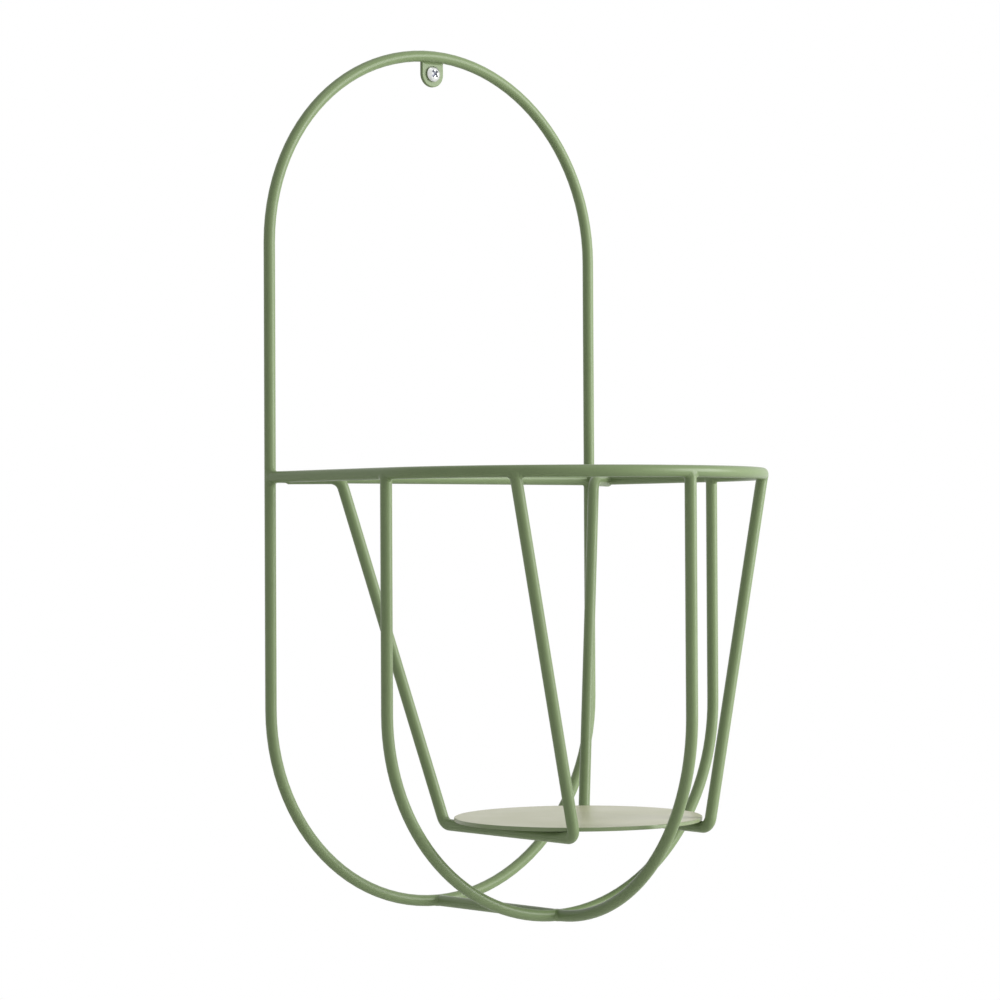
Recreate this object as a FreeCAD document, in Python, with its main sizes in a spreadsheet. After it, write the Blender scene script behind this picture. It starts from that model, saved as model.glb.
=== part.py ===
import FreeCAD, Part
import Sketcher
import math
import os

# Wall planter: a holder for one flower pot, welded from round steel wire.
#
# A closed pill-shaped loop lies on the wall. Halfway down it a D-shaped rim stands
# out from the wall, and everything below the rim is a basket: a cradle loop, a
# front wire and two bent struts that carry a round plate. The planter hangs on one
# screw through a tongue under the top of the back loop.
#
# Row frame: +Z up, wall plane at Y = 0 with the wall on the +Y side, +X to the
# right as seen from the room, origin where the screw's axis enters the wall.
# All lengths are millimetres.

SIZES = [
    ("wire_dia", 6.0, "diameter of every wire"),
    ("loop_radius", 107.0, "half the width of loop, rim and cradle, to the wire's axis"),
    ("loop_upper_leg", 123.0, "straight leg of the back loop above the rim"),
    ("loop_lower_leg", 121.5, "straight leg of the back loop below the rim"),
    ("rim_side", 105.0, "straight side of the rim, from the back loop to the arc"),
    ("cradle_leg", 120.0, "straight leg of the cradle loop and of the front wire"),
    ("chord_rise", 47.1, "chord's axis above the lowest axis of the cradle"),
    ("stub_out", 16.5, "strut's rear end on the rim's side, out from the back loop"),
    ("elbow_inset", 22.5, "strut's elbow, in from the axis of the rim's side"),
    ("elbow_out", 32.0, "strut's elbow, out from the back loop"),
    ("elbow_drop", 1.0, "strut's stub and elbow, below the rim's plane"),
    ("elbow_bend", 7.0, "centre line radius of the elbow"),
    ("foot_bend", 5.0, "centre line radius of the two bends beside the plate"),
    ("front_inset", 26.5, "strut's front end, sideways in from the rim's side"),
    ("plate_dia", 127.0, "diameter of the plate"),
    ("plate_thick", 2.0, "thickness of the plate"),
    ("plate_edge", 0.4, "rounding of the plate's edges"),
    ("front_clear", 6.2, "gap between the plate's underside edge and the front wire"),
    ("rear_foot_inset", 17.5, "rear bend of the chord, in from the plate's side"),
    ("rear_foot_gap", 8.9, "rear bend of the chord, behind the plate's edge"),
    ("front_foot_inset", 19.8, "front bend of the chord, in from the plate's side"),
    ("front_foot_gap", 5.6, "front bend of the chord, in front of the plate's edge"),
    ("tab_width", 14.2, "width of the hanging tongue"),
    ("tab_thick", 2.0, "thickness of the hanging tongue"),
    ("tab_tuck", 1.4, "top of the tongue, below the axis of the wire it lies behind"),
    ("head_dia", 8.5, "screw head's diameter"),
    ("head_height", 2.6, "screw head's height"),
    ("head_edge", 0.9, "straight edge of the screw head under its dome"),
    ("head_clear", 2.05, "gap between the screw's head and the wire above it"),
    ("shank_dia", 4.0, "screw's shank in the wall"),
    ("neck_step", 0.2, "plain neck of the screw, proud of the shank"),
    ("hole_gap", 0.3, "gap between the screw's neck and its hole, all round"),
    ("shank_reach", 28.0, "length of the shank behind the wall plane, without tip"),
    ("tip_reach", 5.0, "length of the screw's point"),
    ("recess_span", 4.6, "cross recess, end to end"),
    ("recess_arm", 1.3, "cross recess, width of an arm"),
    ("recess_depth", 1.5, "cross recess, depth below the top of the dome"),
    ("screw_turn", 45.0, "turn of the cross recess, degrees"),
    ("weld_sink", 0.4, "depth to which a wire's end sinks into the wire it stands on"),
    ("bead_rise", 0.9, "weld bead round the end of a wire, proud of the wire"),
    ("tab_bead_dia", 3.2, "weld bead along the top of the tongue"),
    ("tab_bead_inset", 0.75, "ends of that bead, in from the tongue's sides"),
    ("run_dia", 3.0, "weld run between plate and chord"),
    ("run_length", 14.0, "length of each weld run"),
    ("run_margin", 2.6, "end of a weld run, in from the plate's edge"),
    ("run_aside", 2.4, "weld run's axis, sideways from the chord's"),
    ("run_below", 0.75, "weld run's axis, below the plate"),
]

# Ends of a sketch curve, and the sketch's own origin and axes.
START, END, CENTRE = range(1, 4)
ACROSS_AXIS, UP_AXIS = range(-1, -3, -1)
ORIGIN = (ACROSS_AXIS, START)

# Directions, and the turn that keeps the seam of a weld bead off its neighbours' axes.
RIGHT = FreeCAD.Vector(1, 0, 0)
TO_ROOM = FreeCAD.Vector(0, -1, 0)
UP = FreeCAD.Vector(0, 0, 1)
SEAM_TURN = FreeCAD.Rotation(UP, 20)

# Rules on the sheet that several pieces share. A place is given by three lengths:
# `across` to the right of the middle plane, `out` from the back loop's plane towards
# the room and `drop` below the rim's plane.
HALF_WIRE = "(Sizes.wire_dia / 2)"
WIRE_START = f"({HALF_WIRE} - Sizes.weld_sink)"
HOLE_DROP = f"({HALF_WIRE} + Sizes.head_clear + Sizes.head_dia / 2)"
RIM_LEVEL = f"({HOLE_DROP} - Sizes.loop_radius - Sizes.loop_upper_leg)"
LOOP_FALL = "(Sizes.loop_lower_leg + Sizes.loop_radius)"
CRADLE_FALL = "(Sizes.cradle_leg + Sizes.loop_radius)"
LEFT_SIDE = "-Sizes.loop_radius"

# The plate's front edge keeps its gap to the round part of the front wire.
CHORD_DROP = f"({CRADLE_FALL} - Sizes.chord_rise)"
PLATE_UNDERSIDE = f"({CHORD_DROP} - {HALF_WIRE})"
HALF_PLATE = "(Sizes.plate_dia / 2)"
INNER_BEND = f"(Sizes.loop_radius - {HALF_WIRE})"
PLATE_OUT = (f"(Sizes.rim_side - Sizes.front_clear - {HALF_PLATE}"
             f" + sqrt({INNER_BEND} ^ 2 - ({PLATE_UNDERSIDE} - Sizes.cradle_leg) ^ 2))")

# The chord's bends stand clear of the plate's edge, where the chord leaves it.
REAR_ACROSS = f"({HALF_PLATE} - Sizes.rear_foot_inset)"
REAR_REACH = f"sqrt({HALF_PLATE} ^ 2 - {REAR_ACROSS} ^ 2)"
REAR_OUT = f"({PLATE_OUT} - {REAR_REACH} - Sizes.rear_foot_gap)"
FRONT_ACROSS = f"({HALF_PLATE} - Sizes.front_foot_inset)"
FRONT_REACH = f"sqrt({HALF_PLATE} ^ 2 - {FRONT_ACROSS} ^ 2)"
FRONT_OUT = f"({PLATE_OUT} + {FRONT_REACH} + Sizes.front_foot_gap)"

# The struts' elbows and front ends, and the point where the stub leaves the rim.
ELBOW_ACROSS = "(Sizes.loop_radius - Sizes.elbow_inset)"
STUB_SLOPE = "((Sizes.elbow_out - Sizes.stub_out) / Sizes.elbow_inset)"
STUB_ENTRY_OUT = f"(Sizes.stub_out + {HALF_WIRE} * {STUB_SLOPE})"
END_ACROSS = "(Sizes.loop_radius - Sizes.front_inset)"
END_OUT = f"(Sizes.rim_side + sqrt(Sizes.loop_radius ^ 2 - {END_ACROSS} ^ 2))"

doc = FreeCAD.newDocument("WallPlanter")
sheet = doc.addObject("Spreadsheet::Sheet", "Sizes")
for row, (size_name, size_value, size_note) in enumerate(SIZES, start=1):
    sheet.set("A%d" % row, size_name)
    sheet.set("B%d" % row, "%g" % size_value)
    sheet.set("C%d" % row, size_note)
    sheet.setAlias("B%d" % row, size_name)
doc.recompute()

nodes = []


def worth(rule):
    """What a rule on the sheet comes to."""
    return float(sheet.evalExpression(rule))


def node(part_object, label):
    """Name a finished sub-part and list it for export."""
    part_object.Label = label
    nodes.append(part_object)
    return part_object


# ---------------------------------------------------------------- placing pieces


def move(part_object, across="0", out="0", drop="0"):
    """Tie a piece's place to the sheet."""
    part_object.setExpression("Placement.Base.x", across)
    part_object.setExpression("Placement.Base.y", f"-{HALF_WIRE} - ({out})")
    part_object.setExpression("Placement.Base.z", f"{RIM_LEVEL} - ({drop})")


def new_body(name, out="0", drop="0"):
    """Body whose origin lies in the middle plane, `out` and `drop` from the rim."""
    body = doc.addObject("PartDesign::Body", name)
    move(body, out=out, drop=drop)
    return body


def new_sketch(body, name, role, lift="0"):
    """Sketch on one of the body's own origin planes, lifted along its normal."""
    sketch = body.newObject("Sketcher::SketchObject", name)
    plane = [item for item in body.Origin.OriginFeatures if item.Role == role][0]
    sketch.AttachmentSupport = [(plane, "")]
    sketch.MapMode = "FlatFace"
    sketch.setExpression("AttachmentOffset.Base.z", lift)
    return sketch


# -------------------------------------------------------------- drawing sketches


def bind(sketch, kind, references, rule):
    """Add a dimension to a sketch and tie it to the sheet."""
    index = sketch.addConstraint(Sketcher.Constraint(kind, *references, worth(rule)))
    sketch.setExpression("Constraints[%d]" % index, rule)


def relate(sketch, kind, *references):
    """Add a geometric constraint to a sketch."""
    sketch.addConstraint(Sketcher.Constraint(kind, *references))


def place(sketch, curve, end, left=None, above=None, below=None):
    """Place a curve's point by its distances from the sketch's origin."""
    point = (curve, end)
    if left:
        bind(sketch, "DistanceX", point + ORIGIN, left)
    if above:
        bind(sketch, "DistanceY", ORIGIN + point, above)
    if below:
        bind(sketch, "DistanceY", point + ORIGIN, below)


def add_line(sketch, start, end):
    """Line between two (across, up) points of a sketch."""
    first = FreeCAD.Vector(start[0], start[1], 0)
    second = FreeCAD.Vector(end[0], end[1], 0)
    return sketch.addGeometry(Part.LineSegment(first, second))


def add_arc(sketch, centre, radius, from_degrees, to_degrees):
    """Arc of a sketch, counter-clockwise between two angles."""
    circle = Part.Circle(FreeCAD.Vector(centre[0], centre[1], 0), UP, radius)
    arc = Part.ArcOfCircle(
        circle, math.radians(from_degrees), math.radians(to_degrees)
    )
    return sketch.addGeometry(arc)


def add_circle(sketch, diameter, left=None, below=None):
    """Circle of a sketch, in the origin or left of it or below it."""
    across = -worth(left) if left else 0.0
    up = -worth(below) if below else 0.0
    circle = Part.Circle(FreeCAD.Vector(across, up, 0), UP, worth(diameter) / 2)
    curve = sketch.addGeometry(circle)
    bind(sketch, "Diameter", (curve,), diameter)
    place(sketch, curve, CENTRE, left=left, below=below)
    if not left:
        relate(sketch, "PointOnObject", curve, CENTRE, UP_AXIS)
    if not below:
        relate(sketch, "PointOnObject", curve, CENTRE, ACROSS_AXIS)


def hold_corner(sketch, side, end, corner):
    """Tie one end of a side to its corner's two signed rules."""
    for axis, rule, line in zip("XY", corner, (UP_AXIS, ACROSS_AXIS)):
        value = worth(rule)
        if value == 0:
            relate(sketch, "PointOnObject", side, end, line)
        elif value > 0:
            bind(sketch, "Distance" + axis, ORIGIN + (side, end), rule)
        else:
            bind(sketch, "Distance" + axis, (side, end) + ORIGIN, "-(%s)" % rule)


def add_chain(sketch, corners):
    """Straight sides from each corner to the next. A corner is a pair of signed
    rules, such as ("-Sizes.recess_span / 2", "Sizes.recess_arm / 2")."""
    points = [(worth(across), worth(up)) for across, up in corners]
    sides = []
    for index in range(len(points) - 1):
        side = add_line(sketch, points[index], points[index + 1])
        hold_corner(sketch, side, START, corners[index])
        if sides:
            relate(sketch, "Coincident", sides[-1], END, side, START)
        sides.append(side)
    return sides


def add_rectangle(sketch, half_width, half_height):
    """Rectangle round the sketch's origin."""
    left, below = f"-({half_width})", f"-({half_height})"
    corners = [(left, below), (half_width, below), (half_width, half_height),
               (left, half_height), (left, below)]
    sides = add_chain(sketch, corners)
    relate(sketch, "Coincident", sides[-1], END, sides[0], START)


# -------------------------------------------------------------------- wire paths


def run_wire(body, path, role, lift="0", left=None, below=None):
    """Sweep the wire's round section along a path that starts square to a plane."""
    section = new_sketch(body, body.Name + "Section", role, lift)
    add_circle(section, "Sizes.wire_dia", left=left, below=below)
    pipe = body.newObject("PartDesign::AdditivePipe", body.Name + "Wire")
    pipe.Profile = section
    pipe.Spine = (path, [])
    return body


def draw_hoop(path, leg):
    """Open hoop: a leg, a half round end of loop_radius and the other leg. The legs
    start just inside the wire whose axis runs through the sketch's origin."""
    half, down, gap = worth("Sizes.loop_radius"), worth(leg), worth(WIRE_START)
    left_leg = add_line(path, (-half, -gap), (-half, -down))
    bow = add_arc(path, (0, -down), half, 180, 360)
    right_leg = add_line(path, (half, -down), (half, -gap))
    relate(path, "Tangent", left_leg, END, bow, START)
    relate(path, "Tangent", bow, END, right_leg, START)
    relate(path, "Vertical", left_leg)
    relate(path, "Vertical", right_leg)
    relate(path, "PointOnObject", bow, CENTRE, UP_AXIS)
    bind(path, "Radius", (bow,), "Sizes.loop_radius")
    place(path, bow, CENTRE, below=leg)
    place(path, left_leg, START, below=WIRE_START)
    place(path, right_leg, END, below=WIRE_START)


def make_back_loop():
    """Closed pill-shaped loop on the wall, its butt joint hidden behind the rim."""
    body = new_body("BackLoop")
    path = new_sketch(body, "BackLoopPath", "XZ_Plane")
    half = worth("Sizes.loop_radius")
    upper, lower = worth("Sizes.loop_upper_leg"), worth("Sizes.loop_lower_leg")
    left_upper = add_line(path, (-half, 0), (-half, upper))
    crown = add_arc(path, (0, upper), half, 0, 180)
    right_leg = add_line(path, (half, upper), (half, -lower))
    base = add_arc(path, (0, -lower), half, 180, 360)
    left_lower = add_line(path, (-half, -lower), (-half, 0))
    relate(path, "Tangent", left_upper, END, crown, END)
    relate(path, "Tangent", crown, START, right_leg, START)
    relate(path, "Tangent", right_leg, END, base, END)
    relate(path, "Tangent", base, START, left_lower, START)
    relate(path, "Coincident", left_lower, END, left_upper, START)
    relate(path, "Vertical", left_upper)
    relate(path, "Vertical", right_leg)
    relate(path, "PointOnObject", left_upper, START, ACROSS_AXIS)
    relate(path, "PointOnObject", crown, CENTRE, UP_AXIS)
    relate(path, "PointOnObject", base, CENTRE, UP_AXIS)
    bind(path, "Radius", (crown,), "Sizes.loop_radius")
    place(path, crown, CENTRE, above="Sizes.loop_upper_leg")
    place(path, base, CENTRE, below="Sizes.loop_lower_leg")
    return run_wire(body, path, "XY_Plane", left="Sizes.loop_radius")


def make_rim():
    """D-shaped rim: two sides that butt against the loop's legs, and a round front."""
    body = new_body("Rim")
    path = new_sketch(body, "RimPath", "XY_Plane")
    draw_hoop(path, "Sizes.rim_side")
    return run_wire(body, path, "XZ_Plane", WIRE_START, left="Sizes.loop_radius")


def make_cradle():
    """Cradle loop: stands under the rim where its straight sides end."""
    body = new_body("Cradle", out="Sizes.rim_side")
    path = new_sketch(body, "CradlePath", "XZ_Plane")
    draw_hoop(path, "Sizes.cradle_leg")
    return run_wire(body, path, "XY_Plane", f"-{WIRE_START}", left="Sizes.loop_radius")


def make_back_bar():
    """Straight bar between the back loop's legs, level with the rim."""
    body = new_body("BackBar")
    section = new_sketch(body, "BackBarSection", "YZ_Plane")
    add_circle(section, "Sizes.wire_dia")
    pad = body.newObject("PartDesign::Pad", "BackBarWire")
    pad.Profile = section
    pad.Midplane = True
    pad.setExpression("Length", f"2 * (Sizes.loop_radius - {WIRE_START})")
    return body


def make_front_wire():
    """Front wire: hangs from the middle of the rim's front and curves back, level,
    to the lowest point of the cradle loop."""
    body = new_body("FrontWire")
    path = new_sketch(body, "FrontWirePath", "YZ_Plane")
    bend, gap = worth("Sizes.loop_radius"), worth(WIRE_START)
    reach, fall = worth("Sizes.rim_side"), worth("Sizes.cradle_leg")
    drop_line = add_line(path, (-reach - bend, -gap), (-reach - bend, -fall))
    last_angle = 270 - math.degrees(math.asin(gap / bend))
    bow = add_arc(path, (-reach, -fall), bend, 180, last_angle)
    relate(path, "Tangent", drop_line, END, bow, START)
    relate(path, "Vertical", drop_line)
    bind(path, "Radius", (bow,), "Sizes.loop_radius")
    place(path, bow, CENTRE, left="Sizes.rim_side", below="Sizes.cradle_leg")
    place(path, drop_line, START, below=WIRE_START)
    place(path, bow, END, left=f"Sizes.rim_side + {WIRE_START}")
    front = "Sizes.rim_side + Sizes.loop_radius"
    return run_wire(body, path, "XY_Plane", f"-{WIRE_START}", below=front)


def make_bottom_bar():
    """Straight bar from the back loop's lowest point to the cradle loop's."""
    body = new_body("BottomBar")
    path = new_sketch(body, "BottomBarPath", "YZ_Plane")
    front_end = f"Sizes.rim_side - {WIRE_START}"
    rear_point = (-worth(WIRE_START), -worth(LOOP_FALL))
    front_point = (-worth(front_end), -worth(CRADLE_FALL))
    bar = add_line(path, rear_point, front_point)
    place(path, bar, START, left=WIRE_START, below=LOOP_FALL)
    place(path, bar, END, left=front_end, below=CRADLE_FALL)
    return run_wire(body, path, "XZ_Plane", WIRE_START, below=LOOP_FALL)


# ------------------------------------------------------------------- bent struts


def strut_corners():
    """Corners of the left strut's centre line, from the rim's side near the wall to
    the rim's front, in the frame of the rim (X across, Y towards the wall)."""
    corner_rules = [
        ("Sizes.loop_radius", "Sizes.stub_out", "Sizes.elbow_drop"),
        (ELBOW_ACROSS, "Sizes.elbow_out", "Sizes.elbow_drop"),
        (REAR_ACROSS, REAR_OUT, CHORD_DROP),
        (FRONT_ACROSS, FRONT_OUT, CHORD_DROP),
        (END_ACROSS, END_OUT, "0"),
    ]
    return [FreeCAD.Vector(-worth(aside), -worth(out), -worth(drop))
            for aside, out, drop in corner_rules]


def bent_centre_line(corners, bends):
    """Wire of straight runs joined by tangent arcs of the given radii."""
    edges = []
    run_start = corners[0]
    for index, bend in enumerate(bends, start=1):
        before = (corners[index - 1] - corners[index]).normalize()
        after = (corners[index + 1] - corners[index]).normalize()
        half_angle = before.getAngle(after) / 2
        setback = bend / math.tan(half_angle)
        bisector = (before + after).normalize()
        depth = bend / math.sin(half_angle) - bend
        arc_start = corners[index] + before * setback
        arc_end = corners[index] + after * setback
        edges.append(Part.LineSegment(run_start, arc_start).toShape())
        arc_middle = corners[index] + bisector * depth
        edges.append(Part.Arc(arc_start, arc_middle, arc_end).toShape())
        run_start = arc_end
    edges.append(Part.LineSegment(run_start, corners[-1]).toShape())
    return Part.Wire(edges)


def make_strut_blank():
    """Left strut: bent in three planes, so its path is a centre line in space. Both
    ends run to the rim's centre line and are coped to it afterwards."""
    corners = strut_corners()
    foot_bend = worth("Sizes.foot_bend")
    bends = [worth("Sizes.elbow_bend"), foot_bend, foot_bend]
    line = bent_centre_line(corners, bends)
    circle = Part.Circle(corners[0], corners[1] - corners[0], worth(HALF_WIRE))
    section = Part.Wire([circle.toShape()])
    blank = doc.addObject("Part::Feature", "StrutBlank")
    blank.Shape = line.makePipeShell([section], True, False)
    move(blank)
    expected = math.pi * worth(HALF_WIRE) ** 2 * line.Length
    print("strut: length %.1f mm, volume ratio %.4f"
          % (line.Length, blank.Shape.Volume / expected))
    return blank


# ------------------------------------------------------------ sheet-metal pieces


def make_plate():
    """Round plate that the pot stands on, lying on the struts' chords."""
    body = new_body("Plate", out=PLATE_OUT, drop=PLATE_UNDERSIDE)
    outline = new_sketch(body, "PlateOutline", "XY_Plane")
    add_circle(outline, "Sizes.plate_dia")
    disc = body.newObject("PartDesign::Pad", "PlateDisc")
    disc.Profile = outline
    disc.setExpression("Length", "Sizes.plate_thick")
    doc.recompute()
    rims = ["Edge%d" % number for number, edge in enumerate(disc.Shape.Edges, start=1)
            if isinstance(edge.Curve, Part.Circle)]
    rounding = body.newObject("PartDesign::Fillet", "PlateEdges")
    rounding.Base = (disc, rims)
    rounding.setExpression("Radius", "Sizes.plate_edge")
    return body


def make_tab_blank():
    """Hanging tongue flat on the wall: round lower end concentric with the hole."""
    body = doc.addObject("PartDesign::Body", "TabBlank")
    outline = new_sketch(body, "TabOutline", "XZ_Plane")
    height = f"{HOLE_DROP} - Sizes.tab_tuck"
    half, top = worth("Sizes.tab_width / 2"), worth(height)
    left_side = add_line(outline, (-half, top), (-half, 0))
    round_end = add_arc(outline, (0, 0), half, 180, 360)
    right_side = add_line(outline, (half, 0), (half, top))
    top_side = add_line(outline, (half, top), (-half, top))
    relate(outline, "Tangent", left_side, END, round_end, START)
    relate(outline, "Tangent", round_end, END, right_side, START)
    relate(outline, "Coincident", right_side, END, top_side, START)
    relate(outline, "Coincident", top_side, END, left_side, START)
    relate(outline, "Vertical", left_side)
    relate(outline, "Vertical", right_side)
    relate(outline, "Horizontal", top_side)
    relate(outline, "Coincident", round_end, CENTRE, *ORIGIN)
    bind(outline, "Radius", (round_end,), "Sizes.tab_width / 2")
    place(outline, left_side, START, above=height)
    add_circle(outline, "Sizes.shank_dia + 2 * (Sizes.neck_step + Sizes.hole_gap)")
    blank = body.newObject("PartDesign::Pad", "TabPad")
    blank.Profile = outline
    blank.setExpression("Length", "Sizes.tab_thick")
    return body


# ------------------------------------------------------------------------- screw


def draw_half_screw(section):
    """Half section of the screw above its axis, which is the sketch's level axis."""
    head_top = "-(Sizes.tab_thick + Sizes.head_height)"
    dome_foot = "-(Sizes.tab_thick + Sizes.head_edge)"
    half_neck = "Sizes.shank_dia / 2 + Sizes.neck_step"
    corners = [
        (dome_foot, "Sizes.head_dia / 2"),
        ("-Sizes.tab_thick", "Sizes.head_dia / 2"),
        ("-Sizes.tab_thick", half_neck),
        ("0", half_neck),
        ("0", "Sizes.shank_dia / 2"),
        ("Sizes.shank_reach", "Sizes.shank_dia / 2"),
        ("Sizes.shank_reach + Sizes.tip_reach", "0"),
        (head_top, "0"),
    ]
    sides = add_chain(section, corners)
    hold_corner(section, sides[-1], END, corners[-1])
    half_head = worth("Sizes.head_dia / 2")
    rise = worth(dome_foot) - worth(head_top)
    radius = (half_head ** 2 + rise ** 2) / (2 * rise)
    spread = math.degrees(math.asin(half_head / radius))
    centre = (worth(head_top) + radius, 0)
    dome = add_arc(section, centre, radius, 180 - spread, 180)
    relate(section, "Coincident", dome, START, sides[0], START)
    relate(section, "Coincident", dome, END, sides[-1], END)
    relate(section, "PointOnObject", dome, CENTRE, ACROSS_AXIS)


def make_screw():
    """Pan head screw: dome, plain neck in the tongue, shank and point in the wall,
    and a cross recess in the dome."""
    body = doc.addObject("PartDesign::Body", "Screw")
    section = new_sketch(body, "ScrewSection", "YZ_Plane")
    draw_half_screw(section)
    turned = body.newObject("PartDesign::Revolution", "ScrewTurned")
    turned.Profile = section
    turned.ReferenceAxis = (section, ["H_Axis"])
    turned.Angle = 360
    head_top = "Sizes.tab_thick + Sizes.head_height"
    span, arm = "Sizes.recess_span / 2", "Sizes.recess_arm / 2"
    for name, half_width, half_height in (("Level", span, arm), ("Upright", arm, span)):
        slot = new_sketch(body, "Recess" + name, "XZ_Plane", head_top)
        add_rectangle(slot, half_width, half_height)
        cut = body.newObject("PartDesign::Pocket", "Recess%sCut" % name)
        cut.Profile = slot
        cut.setExpression("Length", "Sizes.recess_depth")
    body.Placement.Rotation = FreeCAD.Rotation(TO_ROOM, 0)
    body.setExpression("Placement.Rotation.Angle", "Sizes.screw_turn")
    return body


# ------------------------------------------------------------------- weld beads


def trim(blank, neighbours, label):
    """Cut a blank back to the surfaces of its neighbours."""
    trimmed = blank
    for number, neighbour in enumerate(neighbours, start=1):
        cut = doc.addObject("Part::Cut", "%s_trim_%d" % (label, number))
        cut.Base = trimmed
        cut.Tool = neighbour
        cut.Refine = False
        trimmed = cut
    return node(trimmed, label)


def make_bead(label, neighbours, along, across="0", out="0", drop="0"):
    """Weld bead at the end of a wire that runs `along`: a ball trimmed to the wires
    that it joins, with its poles inside the wire. Blanks serve as neighbours too,
    because they differ from the coped wires only inside other neighbours."""
    ball = doc.addObject("Part::Sphere", label + "_ball")
    ball.setExpression("Radius", f"{HALF_WIRE} + Sizes.bead_rise")
    ball.Placement.Rotation = FreeCAD.Rotation(UP, along).multiply(SEAM_TURN)
    move(ball, across=across, out=out, drop=drop)
    return trim(ball, neighbours, label)


def make_run(label, neighbours, diameter, length, along, across="0", out="0", drop="0"):
    """Straight weld run along a seam, from its first end, trimmed to what it joins."""
    rod = doc.addObject("Part::Cylinder", label + "_rod")
    rod.setExpression("Radius", diameter + " / 2")
    rod.setExpression("Height", length)
    rod.Placement.Rotation = FreeCAD.Rotation(UP, along)
    move(rod, across=across, out=out, drop=drop)
    return trim(rod, neighbours, label)


def mirror(left_node):
    """The same piece on the right, mirrored in the middle plane."""
    label = left_node.Label.replace("left", "right")
    twin = doc.addObject("Part::Mirroring", label + "_mirror")
    twin.Source = left_node
    twin.Normal = RIGHT
    return node(twin, label)


# --------------------------------------------------------------------- assembly

back_loop = node(make_back_loop(), "back_loop")
rim_blank = make_rim()
bar_blank = make_back_bar()
cradle_blank = make_cradle()
front_blank = make_front_wire()
bottom_blank = make_bottom_bar()
strut_blank = make_strut_blank()
tab_blank = make_tab_blank()
doc.recompute()

# Each wire's end is coped to the wire that it stands on.
rim = trim(rim_blank, [back_loop], "rim")
trim(bar_blank, [back_loop, rim], "back_bar")
cradle = trim(cradle_blank, [rim], "cradle_loop")
trim(front_blank, [rim, cradle], "front_wire")
trim(bottom_blank, [back_loop, cradle], "bottom_bar")
strut = trim(strut_blank, [rim], "strut_left")
plate = node(make_plate(), "plate")
trim(tab_blank, [back_loop], "hanging_tab")
node(make_screw(), "wall_screw")

# Weld beads on the left, where the ends of the wires meet the wires they stand on.
# The bead at the rim's rear end also holds the end of the back bar.
ENTRY_SHARE = f"({HALF_WIRE} / {CHORD_DROP})"
ENTRY_ACROSS = f"({END_ACROSS} - ({END_ACROSS} - {FRONT_ACROSS}) * {ENTRY_SHARE})"
ENTRY_OUT = f"({END_OUT} - ({END_OUT} - {FRONT_OUT}) * {ENTRY_SHARE})"
left_beads = [
    make_bead(
        "bead_rim_left", [back_loop, rim_blank, bar_blank], TO_ROOM,
        across=LEFT_SIDE, out=HALF_WIRE,
    ),
    make_bead(
        "bead_stub_left", [rim, strut_blank], RIGHT,
        across=f"{LEFT_SIDE} + {HALF_WIRE}", out=STUB_ENTRY_OUT, drop="Sizes.elbow_drop",
    ),
    make_bead(
        "bead_strut_front_left", [rim, strut_blank], UP,
        across=f"-{ENTRY_ACROSS}", out=ENTRY_OUT, drop=HALF_WIRE,
    ),
    make_bead(
        "bead_cradle_left", [rim, cradle_blank], UP,
        across=LEFT_SIDE, out="Sizes.rim_side", drop=HALF_WIRE,
    ),
]

# Weld beads in the middle plane.
make_bead(
    "bead_front_top", [rim, front_blank], UP,
    out="Sizes.rim_side + Sizes.loop_radius", drop=HALF_WIRE,
)
make_bead(
    "bead_front_foot", [cradle, front_blank], TO_ROOM,
    out=f"Sizes.rim_side + {HALF_WIRE}", drop=CRADLE_FALL,
)
make_bead(
    "bead_bottom_bar_front", [cradle, bottom_blank], TO_ROOM,
    out=f"Sizes.rim_side - {HALF_WIRE}", drop=CRADLE_FALL,
)
make_bead(
    "bead_bottom_bar_rear", [back_loop, bottom_blank], TO_ROOM,
    out=HALF_WIRE, drop=LOOP_FALL,
)
make_run(
    "bead_tab", [back_loop, tab_blank], "Sizes.tab_bead_dia",
    "Sizes.tab_width - 2 * Sizes.tab_bead_inset", RIGHT,
    across="Sizes.tab_bead_inset - Sizes.tab_width / 2",
    out=f"Sizes.tab_thick - {HALF_WIRE}",
    drop=f"{HALF_WIRE} - Sizes.loop_radius - Sizes.loop_upper_leg",
)

# Weld runs between the plate and the left chord, on the chord's inner side.
CHORD_LEAN = f"(({REAR_ACROSS} - {FRONT_ACROSS}) / ({FRONT_OUT} - {REAR_OUT}))"
run_starts = {
    "rear": f"({PLATE_OUT} - {REAR_REACH} + Sizes.run_margin)",
    "front": f"({PLATE_OUT} + {FRONT_REACH} - Sizes.run_margin - Sizes.run_length)",
}
for place_name, run_start in run_starts.items():
    run_middle = f"({run_start} + Sizes.run_length / 2)"
    chord_across = f"({REAR_ACROSS} - ({run_middle} - {REAR_OUT}) * {CHORD_LEAN})"
    left_beads.append(make_run(
        "bead_plate_%s_left" % place_name, [strut_blank, plate],
        "Sizes.run_dia", "Sizes.run_length", TO_ROOM,
        across=f"Sizes.run_aside - {chord_across}", out=run_start,
        drop=f"{PLATE_UNDERSIDE} + Sizes.run_below",
    ))

for left_node in [strut] + left_beads:
    mirror(left_node)
doc.recompute()

# ------------------------------------------------------------ checks and export

for part_object in doc.Objects:
    faults = [state for state in part_object.State if state in ("Invalid", "Error")]
    if faults:
        raise RuntimeError("%s: %s" % (part_object.Name, faults))
for part_object in nodes:
    shape = part_object.Shape
    if shape.isNull() or not shape.isValid() or len(shape.Solids) != 1:
        raise RuntimeError("%s isn't one valid solid" % part_object.Label)

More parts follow.
